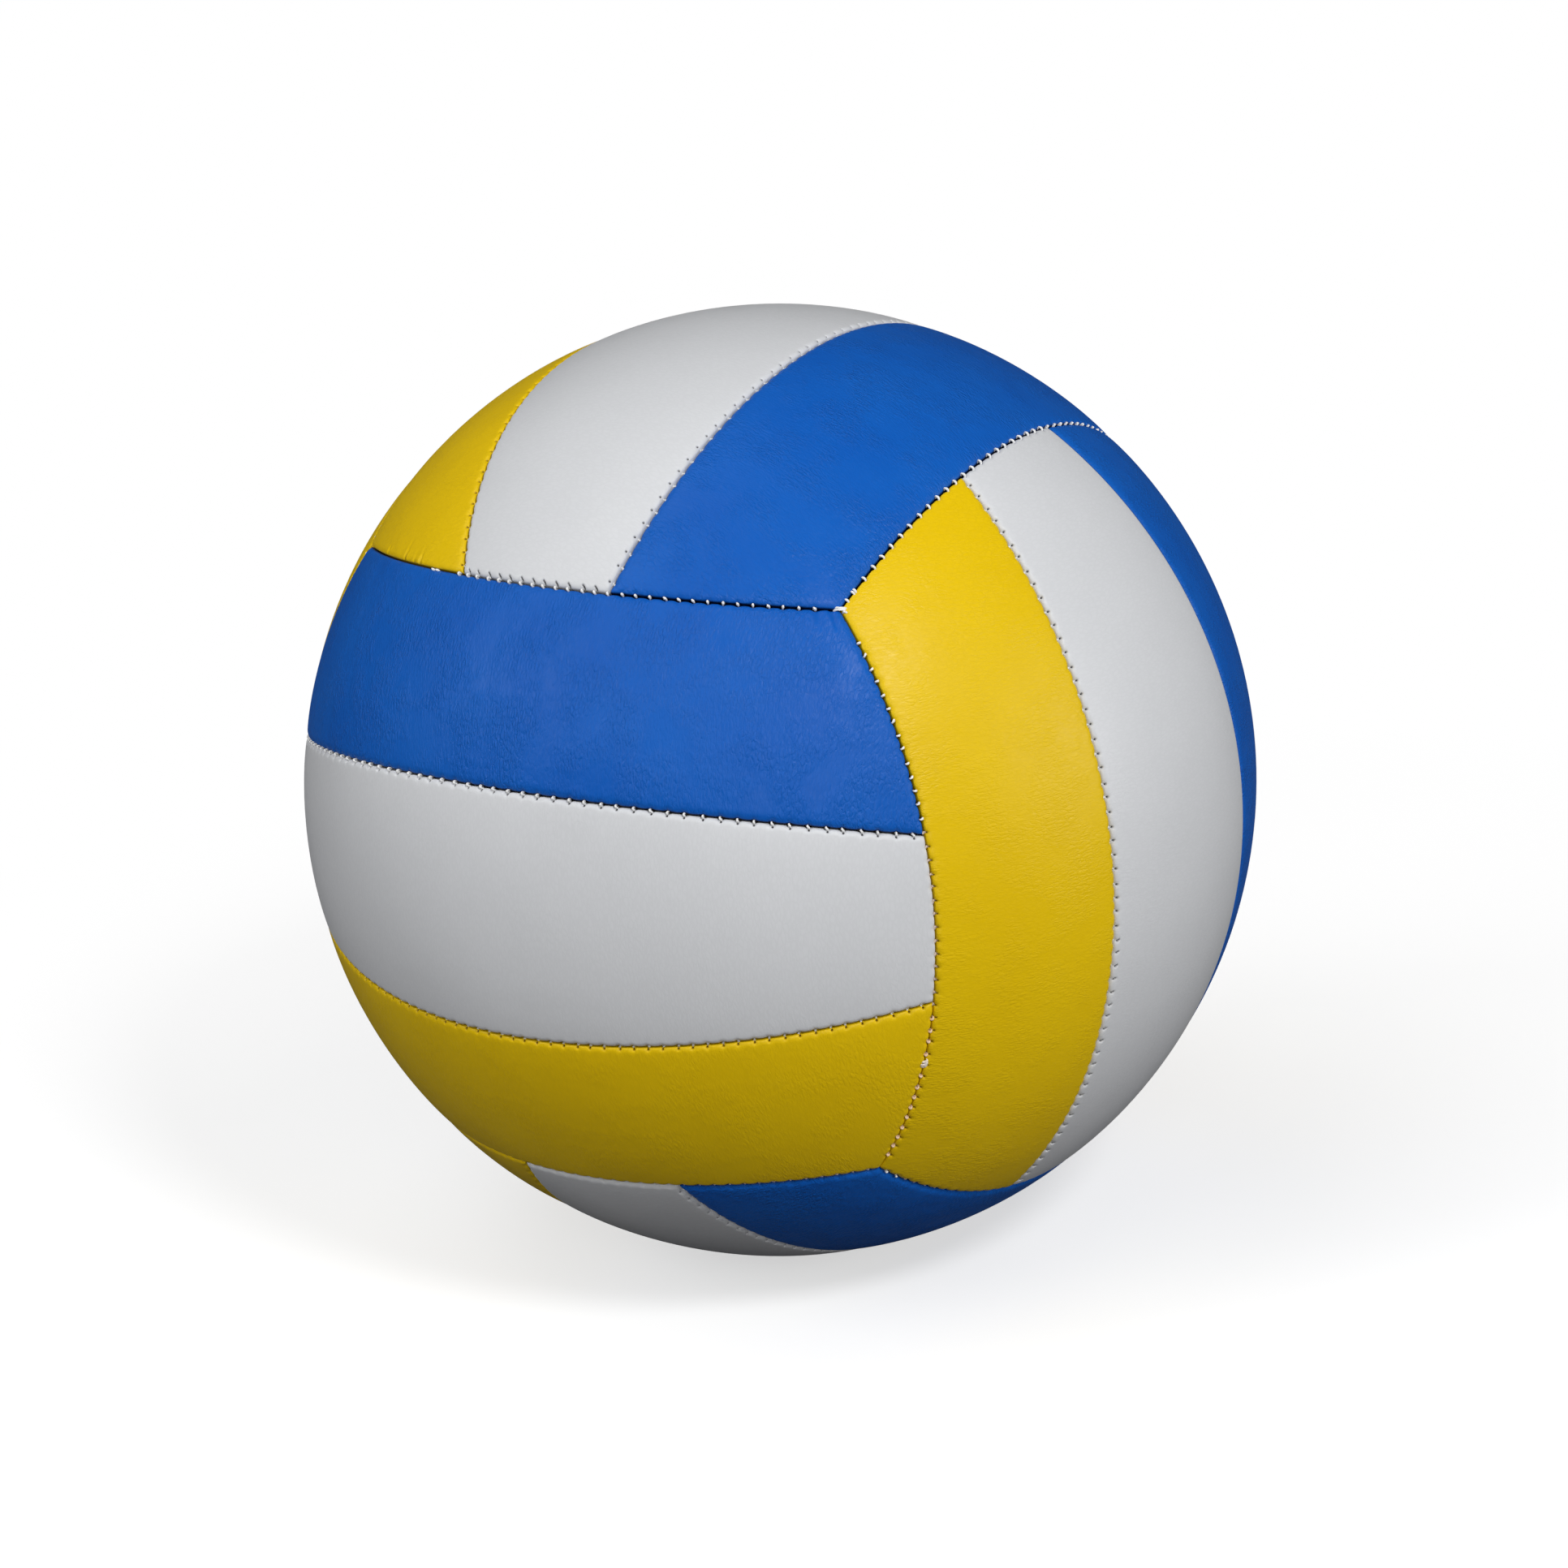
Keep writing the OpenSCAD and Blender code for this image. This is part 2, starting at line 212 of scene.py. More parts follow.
class Seam:
    """A seam's circle on the ball, its run between two ends and its stitches."""

    def __init__(self, key, circle, start, finish):
        self.key, self.axis = key, circle[0]
        self.polar = math.acos(circle[1])
        self.x = unit(start - (start @ self.axis) * self.axis)
        self.y = np.cross(self.axis, self.x)
        sweep = math.atan2(finish @ self.y, finish @ self.x)
        if sweep < 0:
            self.y, sweep = -self.y, -sweep
        self.radius = BALL_R * math.sin(self.polar)
        self.length = self.radius * sweep
        common = (PITCH, MARGIN, MARGIN, [(END, COMMON[(key[0], key[2])])])
        pitch, first, last, runs = SEWING.get(key, common)
        count = int(round((self.length - first - last) / pitch)) + 1
        even = np.linspace(first, self.length - last, count)
        self.stitches = even + random.uniform(-JITTER, JITTER, count)
        self.pull = random.uniform(*PULL, count)
        self.skew = random.uniform(-SKEW, SKEW, count)
        names = [next(name for until, name in runs if place < until) for place in self.stitches]
        self.looks = [STITCHES[name] for name in names]
        self.shown = np.array([look is not None for look in self.looks], float)
        sunk = np.array([look is not None and look.rise == SUNK for look in self.looks])
        self.give = RECEDE * np.where(sunk, SUNK_GIVE, 1.0) * self.shown
        self.bulge = np.where(sunk, SUNK_BULGE, BULGE)
        # the share of the width of the painted shade in this seam's groove that is left
        self.dark = NARROW_GROOVE_SHADES.get(key, 1.0)

    def at(self, along, off):
        """Directions at a length along the seam and an offset from it, away from its axis."""
        phi = np.asarray(along, float) / self.radius
        polar = self.polar + np.asarray(off, float) / BALL_R
        return (np.cos(polar)[..., None] * self.axis
                + np.sin(polar)[..., None] * (np.cos(phi)[..., None] * self.x
                                              + np.sin(phi)[..., None] * self.y))

    def off(self, p):
        return BALL_R * (np.arccos(np.clip(p @ self.axis, -1, 1)) - self.polar)

    def along(self, p):
        return self.radius * np.arctan2(p @ self.y, p @ self.x)

    def away(self, p):
        """The unit vector along the ball that leads away from the seam's axis."""
        flat = p - (p @ self.axis)[..., None] * self.axis
        flat /= np.linalg.norm(flat, axis=-1, keepdims=True)
        c = (p @ self.axis)[..., None]
        return c * flat - np.sqrt(1 - c * c) * self.axis

    def nearest(self, along):
        """The distance along the seam to the nearest stitch, and that stitch."""
        j = np.clip(np.searchsorted(self.stitches, along), 1, len(self.stitches) - 1)
        j = np.where(along - self.stitches[j - 1] < self.stitches[j] - along, j - 1, j)
        return along - self.stitches[j], j

    def samples(self, per_pitch):
        """Lengths along the seam, in step with its stitches, running past both ends."""
        gap = np.diff(self.stitches)
        marks = np.concatenate([
            self.stitches[0] - gap[0] * np.arange(PAST, 0, -1), self.stitches,
            self.stitches[-1] + gap[-1] * np.arange(1, PAST + 1)])
        steps = np.arange(per_pitch) / per_pitch
        return (marks[:-1, None] + steps * np.diff(marks)[:, None]).ravel()


# Two neighbouring faces share one outer seam. Its key names the face whose strips run along it, so all
# 12 outer seams come from this loop.
SEAMS = {}
for face in FACES:
    for side in (-1, 1):
        SEAMS[("outer", face, side)] = Seam(
            ("outer", face, side), outer_circle(face, side),
            face_corner(face, side, -1), face_corner(face, side, 1))
for face in FACES:
    for side in (-1, 1):
        circle = inner_circle(face, side)
        ends = []
        for end in (-1, 1):
            seam = SEAMS[end_key(face, end)]
            ends.append(crossing(circle, (seam.axis, math.cos(seam.polar)), FACES[face][0]))
        SEAMS[("inner", face, side)] = Seam(("inner", face, side), circle, *ends)

# Relief of a panel
EDGE, FOOT = 0.2, 0.14  # where the rolled edge turns into the seam, and where its wall ends
ROLLS = {"blue": (1.9, 0.85), "white": (1.35, 0.75), "yellow": (1.3, 0.5)}  # width and depth by colour
GROOVE_SHADE_WIDTHS = {"blue": 0.46, "white": 0.0, "yellow": 0.24}  # width of the painted shade in the groove at the edge, by colour
SWELL_H, SWELL_W = 0.3, 4.5  # the gentle fall of the padded panel towards its seam
PINCH_H, PINCH_T, PINCH_W = 0.3, 0.6, 0.9  # the dip at a stitch: depth, size along the seam and across it
GIVE_W = 0.8  # how far in from the seam its edge still gives
CORNER_BLEND = 3  # the power that joins the falls towards two seams at a corner
HOLE_R, HOLE_DEPTH, HOLE_POWER = 0.27, 0.6, 1.3
# A hole is left out if a seam is nearer than its own by the first, or the next one is within the second
HOLE_SLACK, CORNER_CLEAR = 0.02, 1.3
FADE = 1.25  # a hole, with its painted shade, or the painted shade of a groove is whole up to a quarter of its size, and ends at this many times it
BLOCK = 4000  # how many points are set against the needle holes at once
NECK_R, NECK_SIDES = 3.1, 48  # the hole for the valve's neck
NECK_DIP, NECK_DIP_W = 0.22, 1.3  # the dip round it

# Small folds where the cover was gathered in sewing, by the seam and the side of it that the panel lies
# on: place along the seam, length, width, depth and lean
PUCKERS = {
    (("outer", "front", 1), -1): [
        (20.0, 1.7, 0.5, 0.28, 0.1), (30.5, 3.2, 0.5, 0.24, 0.05),
        (35.4, 1.6, 0.5, 0.16, 0.0), (38.0, 2.2, 0.5, 0.3, -0.1)],
    (("outer", "front", 1), 1): [(135.5, 4.4, 0.8, 0.3, 0.15), (138.2, 4.8, 0.55, 0.42, 0.3)],
}
LIP, LIP_AT = 0.45, 1.7  # the raised lips beside a fold: share of its depth, and place in its widths
CORE_W, CORE_L = 0.7, 0.6  # the painted shade inside a fold, as shares of its width and length
FOLD_PAINTED_SHADE = 0.62  # how dark that painted shade is in the yellow

# Points of a panel
# The rings of points on a panel's top: distance from its seams, and points to a stitch. The first is the
# rim, which the underside shares. The underside's own rings have their radius too.
RINGS = [(FOOT, 8), (0.165, 8), (EDGE, 8), (0.28, 8), (0.42, 8), (0.62, 8), (0.86, 8), (1.12, 8),
         (1.45, 8), (1.85, 4), (2.4, 4), (3.3, 2), (4.6, 2), (6.2, 1)]
INNER_RINGS = [(0.95, 2, FOOT_R), (0.99, 2, 103.7), (1.6, 1, INNER_R)]
RING_CLEAR, INNER_CLEAR = 0.1, 0.3  # how far a ring's points stay from its corners, along the seam
FIELD, INNER_FIELD = (3.0, 7.3), (4.6, 3.4)  # the points inside the rings: step, distance from the seams
FIELD_REACH = 95  # further than any panel reaches from its middle
HOLE_RINGS = ((0.5, 6), (1.0, 8), (1.27, 8))  # points round a hole: radius in its radii, and count
HOLE_ROOM = 1.35  # the radius that is cleared for them
FOLD_ALONG, FOLD_OFF = np.arange(-2.6, 2.61, 0.34), np.arange(1.65, 6.3, 0.42)  # points of a fold
FOLD_ROOM, FOLD_FROM, FOLD_TO = 2.85, 1.4, 6.5  # the room cleared for them, each way along, and off it
RIM_CLEAR = 0.24  # how far the points of holes and folds stay from the seams
LEAST_GAP = 0.07  # a point that is nearer than this to another is left out
RIM_RINGS = 3  # about this many rings at the rim stay whole, however close their points are
NECK_RINGS = (0, 0.2, 0.55, 1.1, 2.0, 3.2)  # rings round the neck, from its hole
NECK_CLEAR = 0.45  # and the room to the next point
CLOSE = 0.01  # how near a vertex is to the neck's wall where it is on it
SKIN_CLEAR = 0.05  # how far above the underside a vertex of the top stands at least


def from_neck(p):
    """How far a direction is from the valve's neck, which points along Y."""
    return BALL_R * np.arccos(np.clip(p[:, 1], -1, 1))


def neck_clear(points, widest):
    return from_neck(points) > widest + NECK_CLEAR


def neck_points(points, radii):
    """Points with rings round the neck in place of those that lie there."""
    points = points[neck_clear(points, radii[-1])]
    a = 2 * math.pi * np.arange(NECK_SIDES) / NECK_SIDES
    for t in (r / BALL_R for r in radii):
        ring = [np.cos(a) * math.sin(t), np.full(NECK_SIDES, math.cos(t)), np.sin(a) * math.sin(t)]
        points = np.concatenate([points, np.stack(ring, -1)])
    return points


def thin_out(points, first):
    """Leaves out the points from index first on that lie too close to an earlier one of these."""
    spots = points * BALL_R
    cells = [tuple(c) for c in np.floor(spots / LEAST_GAP).astype(np.int64)]
    steps = [(x, y, z) for x in (-1, 0, 1) for y in (-1, 0, 1) for z in (-1, 0, 1)]
    kept, seen = list(range(first)), {}
    for i in range(first, len(points)):
        x, y, z = cells[i]
        near = [k for dx, dy, dz in steps for k in seen.get((x + dx, y + dy, z + dz), ())]
        if all(((spots[i] - spots[k]) ** 2).sum() >= LEAST_GAP * LEAST_GAP for k in near):
            seen.setdefault(cells[i], []).append(i)
            kept.append(i)
    return points[kept]


def flat_mesh(xy, loop):
    """Triangles between points of a flat map, inside the loop that its first points make, and the point
    that each of their vertices comes from."""
    order = list(range(loop))
    x, y = xy[:loop, 0], xy[:loop, 1]
    if np.sum(x * np.roll(y, -1) - np.roll(x, -1) * y) < 0:
        order.reverse()
    inside_only, tolerance = 1, 1e-6
    made = delaunay_2d_cdt([Vector(p) for p in xy.tolist()], [], [order], inside_only, tolerance)
    at = np.array([k[0] for k in made[3]])
    faces = np.array([list(f) for f in made[2]])
    a, b, c = (np.array([made[0][k][:] for k in faces[:, i]]) for i in range(3))
    turn = (b[:, 0] - a[:, 0]) * (c[:, 1] - a[:, 1]) - (b[:, 1] - a[:, 1]) * (c[:, 0] - a[:, 0])
    faces[turn < 0] = faces[turn < 0][:, ::-1]
    return faces, at


class Panel:
    """One strip of the cover: its four seams in turn, with the side of each that it lies on."""

    def __init__(self, face, colour):
        self.normal, run, _ = FACES[face]
        self.colour = colour
        low, high = [((kind, face, side), way) for kind, side, way in STRIPS[colour]]
        keys = [(end_key(face, -1), -1), high, (end_key(face, 1), -1), low]
        self.sides = [(SEAMS[key], way) for key, way in keys]
        self.centre = unit(sum(self.corner(i, 0.0) for i in range(4)))
        self.east = unit(run - (run @ self.centre) * self.centre)
        self.north = np.cross(self.centre, self.east)
        self.neck = face == "back" and colour == "white"
        self.holes, self.strengths = self.find_holes()

    def corner(self, i, d):
        """The corner between side i and the one after it, at a distance from both seams."""
        circles = [(seam.axis, math.cos(seam.polar + way * d / BALL_R))
                   for seam, way in (self.sides[i], self.sides[(i + 1) % 4])]
        return crossing(*circles, self.normal)

    def distances(self, p):
        return np.stack([way * seam.off(p) for seam, way in self.sides], -1)

    def flatten(self, p):
        """Places on a flat map about the panel's centre, true in distance from it."""
        angle = np.arccos(np.clip(p @ self.centre, -1, 1))
        flat = np.stack([p @ self.east, p @ self.north], -1)
        size = np.linalg.norm(flat, axis=-1, keepdims=True)
        return BALL_R * angle[..., None] * flat / np.maximum(size, TINY)

    def field(self, step, clear):
        """An even field of points inside the panel, a distance clear of its seams."""
        n = int(FIELD_REACH / step)
        i, j = np.meshgrid(np.arange(-n, n + 1), np.arange(-n, n + 1))
        xy = np.stack([(i + 0.5 * (j % 2)) * step, j * step * math.sqrt(0.75)], -1).reshape(-1, 2)
        xy = xy[np.linalg.norm(xy, axis=1) < FIELD_REACH] + 1e-4  # none is right at the centre
        size = np.linalg.norm(xy, axis=-1, keepdims=True)
        angle, flat = size / BALL_R, xy / np.maximum(size, TINY)
        p = (np.cos(angle) * self.centre
             + np.sin(angle) * (flat[:, :1] * self.east + flat[:, 1:] * self.north))
        return p[self.distances(p).min(1) > clear]

    def ring(self, d, per_pitch, clear=RING_CLEAR):
        """The points at a distance from the panel's seams, in order round it."""
        points = []
        for i, (seam, way) in enumerate(self.sides):
            first, last = self.corner(i - 1, d), self.corner(i, d)
            lo, hi = float(seam.along(first)), float(seam.along(last))
            marks = seam.samples(per_pitch)
            if lo < hi:
                marks = marks[(marks > lo + clear) & (marks < hi - clear)]
            else:
                marks = marks[(marks < lo - clear) & (marks > hi + clear)][::-1]
            points.append(first[None])
            points.append(seam.at(marks, np.full(len(marks), way * d)))
        return np.concatenate(points)

    def find_holes(self):
        """The needle holes of its seams' stitches that are in this panel, and their strengths."""
        rows = []
        for seam, way in self.sides:
            for place, skew, look in zip(seam.stitches, seam.skew, seam.looks):
                holes = () if look is None else look.holes_towards if way < 0 else look.holes_away
                for d, along, strength in holes:
                    p = seam.at(np.array([place + along + skew]), np.array([way * d]))[0]
                    nearest = np.sort(self.distances(p[None])[0])
                    if nearest[0] > d - HOLE_SLACK and nearest[1] > CORNER_CLEAR:
                        rows.append((*p, strength))
        rows = np.array(rows)
        return rows[:, :3], rows[:, 3]

    def hole_gaps(self, p):
        """The distances from each point to each needle hole, a block of points at a time."""
        for block in np.array_split(np.arange(len(p)), max(1, len(p) // BLOCK)):
            yield block, BALL_R * np.linalg.norm(p[block, None] - self.holes[None], axis=-1)

    def relief(self, p):
        """Depth below the round ball, the sideways shift and the painted shade of each direction, in
        needle holes, grooves and folds.
        """
        d = self.distances(p)
        drops, walls, shift, stain = [], [], np.zeros_like(p), np.zeros(len(p))
        width, deep = ROLLS[self.colour]
        for i, (seam, way) in enumerate(self.sides):
            di = np.maximum(d[:, i], 0)
            t, j = seam.nearest(seam.along(p))
            near = np.exp(-(t / PINCH_T) ** 2) * seam.shown[j]
            q = np.clip((width - di) / (width - EDGE), 0, 1)
            drops.append(deep * (1 - np.sqrt(1 - q * q)) + SWELL_H * np.exp(-di / SWELL_W)
                         + PINCH_H * seam.pull[j] * near * np.exp(-(di / PINCH_W) ** 2))
            walls.append(np.clip((EDGE - di) / (EDGE - FOOT), 0, 1))
            give = (seam.give[j] * near - seam.bulge[j] * (1 - near)) * np.exp(-(di / GIVE_W) ** 2)
            shift += (way * give)[:, None] * seam.away(p)
            for place, length, fold_w, fold_h, lean in PUCKERS.get((seam.key, way), ()):
                x = (seam.along(p) - place - lean * di) / fold_w
                lips = np.exp(-(x - LIP_AT) ** 2) + np.exp(-(x + LIP_AT) ** 2)
                fold = np.exp(-x * x) - LIP * lips
                drops[-1] += fold_h * fold * np.exp(-(di / length) ** 2)
                # the inside of a fold is painted in shade, in the yellow only; stain carries this painted
                # shade
                core = np.exp(-(x / CORE_W) ** 2) * np.exp(-(di / (CORE_L * length)) ** 2)
                stain = np.maximum(stain, FOLD_PAINTED_SHADE * (self.colour == "yellow") * core)
        drops = np.maximum(np.array(drops), 0)
        depth = (drops ** CORNER_BLEND).sum(0) ** (1 / CORNER_BLEND)
        pit_painted_shade = np.zeros(len(p))
        # each needle hole's strength sets how deep it is and how dark its painted shade is
        for block, gap in self.hole_gaps(p):
            pit_painted_shade[block] = (self.strengths * np.clip(FADE - gap / HOLE_R, 0, 1)).max(1)
        depth = depth + HOLE_DEPTH * pit_painted_shade ** HOLE_POWER
        if self.neck:
            depth = depth + NECK_DIP * np.exp(-((from_neck(p) - NECK_R) / NECK_DIP_W) ** 2)
        wall = np.max(walls, axis=0)
        depth = depth * (1 - wall) + (BALL_R - FOOT_R) * wall
        # painted shade of the needle holes, which the seam's walls don't take, and of the insides of
        # folds
        pit_painted_shade = np.maximum(pit_painted_shade * (1 - wall), stain)
        # painted shade in the groove beside each seam
        if GROOVE_SHADE_WIDTHS[self.colour]:
            reach = GROOVE_SHADE_WIDTHS[self.colour] * np.array([seam.dark for seam, _ in self.sides])
            pit_painted_shade = np.maximum(pit_painted_shade, np.clip(FADE - (np.maximum(d, 0) / reach).min(1), 0, 1))
        return depth, shift, pit_painted_shade

    def outer_points(self):
        """The directions of the top's vertices, and how many of them make its rim, which come first."""
        rings = [self.ring(d, k) for d, k in RINGS]
        loop = len(rings[0])
        points = np.concatenate(rings)
        keep = np.ones(len(points), bool)
        for block, gap in self.hole_gaps(points[loop:]):
            keep[loop + block] = gap.min(1) > HOLE_ROOM * HOLE_R
        extra = [self.field(*FIELD)]
        for seam, way in self.sides:
            for place, *_ in PUCKERS.get((seam.key, way), ()):
                off = way * seam.off(points)
                close = np.abs(seam.along(points) - place) < FOLD_ROOM
                keep &= ~(close & (off > FOLD_FROM) & (off < FOLD_TO))
                a, o = np.meshgrid(place + FOLD_ALONG, FOLD_OFF)
                extra.append(seam.at(a.ravel(), way * o.ravel()))
        for h in self.holes:
            east = unit(np.cross(h, self.north))
            north = np.cross(h, east)
            extra.append(h[None])
            for share, count in HOLE_RINGS:
                a = 2 * math.pi * np.arange(count) / count
                way = np.cos(a)[:, None] * east + np.sin(a)[:, None] * north
                extra.append(unit_rows(h + share * HOLE_R / BALL_R * way))
        extra = np.concatenate(extra)
        extra = extra[self.distances(extra).min(1) > RIM_CLEAR]
        points = thin_out(np.concatenate([points[keep], extra]), RIM_RINGS * loop)
        if self.neck:
            points = neck_points(points, [NECK_R + r for r in NECK_RINGS])
        return points, loop

    def inner_points(self, rim):
        """The directions of the underside's vertices, the rim's first, and their radii."""
        rings, radii = [rim], [np.full(len(rim), FOOT_R)]
        for d, per_pitch, r in INNER_RINGS:
            rings.append(self.ring(d, per_pitch, INNER_CLEAR))
            radii.append(np.full(len(rings[-1]), r))
        rings.append(self.field(*INNER_FIELD))
        radii.append(np.full(len(rings[-1]), INNER_R))
        p, r = np.concatenate(rings), np.concatenate(radii)
        if self.neck:
            r = np.concatenate([r[neck_clear(p, NECK_R)], np.full(NECK_SIDES, INNER_R)])
            p = neck_points(p, [NECK_R])
        return p, r

    def mesh(self):
        """The panel as a closed tray: its vertices, its triangles and the painted shade of each vertex,
        in its needle holes, grooves and folds.
        """
        points, loop = self.outer_points()
        faces, at = flat_mesh(self.flatten(points), loop)
        depth, shift, pit_painted_shade = self.relief(points[at])
        top = unit_rows(points[at] + shift / BALL_R) * (BALL_R - depth)[:, None]
        inner, radii = self.inner_points(points[:loop])
        under, at_in = flat_mesh(self.flatten(inner), loop)
        low = inner[at_in] * radii[at_in][:, None]
        # the rim is shared, so the two surfaces close
        rim = {int(k): i for i, k in enumerate(at) if k < loop}
        index = np.array([rim[int(k)] if k < loop else len(top) + i for i, k in enumerate(at_in)])
        verts = np.concatenate([top, low])
        triangles = np.concatenate([faces, index[under][:, ::-1]])
        if self.neck:
            triangles = self.cut_neck(verts, triangles)
        used, inverse = np.unique(triangles, return_inverse=True)
        painted_shades = np.concatenate([pit_painted_shade, np.zeros(len(low))])[used]
        return verts[used], inverse.reshape(-1, 3), painted_shades

    def cut_neck(self, verts, triangles):
        """Opens the hole round the valve's neck and closes its wall."""
        p = unit_rows(verts)
        reach = from_neck(p)
        inside = (reach < NECK_R + CLOSE)[triangles].all(1)
        on = np.where(np.abs(reach - NECK_R) < CLOSE)[0]
        turns = np.arctan2(p[on, 2], p[on, 0]) / (2 * math.pi)
        place = np.round(turns * NECK_SIDES).astype(int) % NECK_SIDES
        radius = np.linalg.norm(verts[on], axis=1)
        top = {a: v for a, v, r in zip(place, on, radius) if r > INNER_R + SKIN_CLEAR}
        low = {a: v for a, v, r in zip(place, on, radius) if r <= INNER_R + SKIN_CLEAR}
        walls = []
        for a in range(NECK_SIDES):
            b = (a + 1) % NECK_SIDES
            walls += [(top[a], top[b], low[a]), (low[a], top[b], low[b])]
        walls = np.array(walls)
        # face the wall towards the neck's axis
        a, b, c = (verts[walls[:, i]] for i in range(3))
        normal, middle = np.cross(b - a, c - a), (a + b + c) / 3
        outwards = (normal[:, [0, 2]] * middle[:, [0, 2]]).sum(1) > 0
        walls[outwards] = walls[outwards][:, ::-1]
        return np.concatenate([triangles[~inside], walls])


def make_object(name, verts, faces, material, attribute, values):
    """A smooth mesh with one material and one value at each vertex."""
    mesh = bpy.data.meshes.new(name)
    mesh.vertices.add(len(verts))
    mesh.vertices.foreach_set("co", (verts * MM).astype(np.float32).ravel())
    mesh.loops.add(faces.size)
    mesh.loops.foreach_set("vertex_index", faces.astype(np.int32).ravel())
    mesh.polygons.add(len(faces))
    mesh.polygons.foreach_set("loop_start", np.arange(0, faces.size, faces.shape[1], dtype=np.int32))
    mesh.update(calc_edges=True)
    mesh.validate()
    mesh.shade_smooth()
    mesh.attributes.new(attribute, "FLOAT", "POINT").data.foreach_set(
        "value", np.asarray(values, np.float32))
    mesh.materials.append(material)
    piece = bpy.data.objects.new(name, mesh)
    bpy.context.scene.collection.objects.link(piece)
    return piece


# Materials


def new_material(name):
    material = bpy.data.materials.new(name)
    material.use_nodes = True
    return material, material.node_tree, material.node_tree.nodes["Principled BSDF"]


def object_place(tree):
    return tree.nodes.new("ShaderNodeTexCoord").outputs["Object"]


def set_input(tree, socket, value):
    """Links an output to an input, or sets the input to a number or colour."""
    if hasattr(value, "links"):
        tree.links.new(value, socket)
    else:
        socket.default_value = value


def noise(tree, place, scale, detail):
    node = tree.nodes.new("ShaderNodeTexNoise")
    node.inputs["Scale"].default_value, node.inputs["Detail"].default_value = scale, detail
    tree.links.new(place, node.inputs["Vector"])
    return node.outputs


def ramp(tree, source, low, high, lo=0.0, hi=1.0):
    """Maps a value from low to high onto one from lo to hi, and stops at both."""
    node = tree.nodes.new("ShaderNodeMapRange")
    for key, value in (("From Min", low), ("From Max", high), ("To Min", lo), ("To Max", hi)):
        node.inputs[key].default_value = value
    tree.links.new(source, node.inputs["Value"])
    return node.outputs["Result"]


def maths(tree, operation, a, b):
    node = tree.nodes.new("ShaderNodeMath")
    node.operation = operation
    set_input(tree, node.inputs[0], a)
    set_input(tree, node.inputs[1], b)
    return node.outputs[0]


def mix_colour(tree, factor, a, b):
    node = tree.nodes.new("ShaderNodeMix")
    node.data_type = "RGBA"
    tree.links.new(factor, node.inputs["Factor"])
    # a mix node's sockets for colours stand after those for numbers and vectors
    set_input(tree, node.inputs[6], a)
    set_input(tree, node.inputs[7], b)
    return node.outputs[2]


def mix_shader(tree, factor, a, b):
    node = tree.nodes.new("ShaderNodeMixShader")
    for socket, source in zip(node.inputs, (factor, a, b)):
        tree.links.new(source, socket)
    return node.outputs[0]


def vertex_value(tree, attribute):
    node = tree.nodes.new("ShaderNodeAttribute")
    node.attribute_name = attribute
    return node.outputs["Fac"]


def bump(tree, shader, height, strength, distance):
    node = tree.nodes.new("ShaderNodeBump")
    node.inputs["Strength"].default_value = strength
    node.inputs["Distance"].default_value = distance * MM
    tree.links.new(height, node.inputs["Height"])
    tree.links.new(node.outputs[0], shader.inputs["Normal"])


NOISE = (0.3, 0.7)  # the range that a noise texture mostly keeps to
GRAIN_ACROSS, GRAIN_ALONG = 1.6, 0.55  # size of the grain across the strip and along it
GRAIN_DEPTH = 0.2
# The creases between the cells of the grain, in grains: how fine the noise is that bends them, how far it
# does, how fine the cells are, and the creases' width. Then their share of the relief, how much painted
# shade they take, and the tone of that painted shade.
BEND_SCALE, BEND, CELL_SCALE, CREASE_W = 1.3, 1.1, 0.8, 0.22
CREASE_SHARE, CREASE_SHADE_SHARE, CREASE_SHADE_TONE = 0.35, 0.12, 0.72
FINE_SCALE = 1.1  # the fine noise over them, in grains
# Patches of flatter and deeper grain: how many to the metre, the range of their noise, and their depths
PATCH_SCALE, PATCH_RANGE, PATCH_DEPTHS = 120, (0.38, 0.62), (0.25, 1.2)
TONE_SCALE = 45  # the drift between a colour and its shade, to the metre
PAINTED_SHADE_RANGE = (0.15, 0.8)  # where a vertex's painted shade starts to darken it, and where it is at its darkest
LEATHER_ROUGHNESS = (0.33, 0.47)


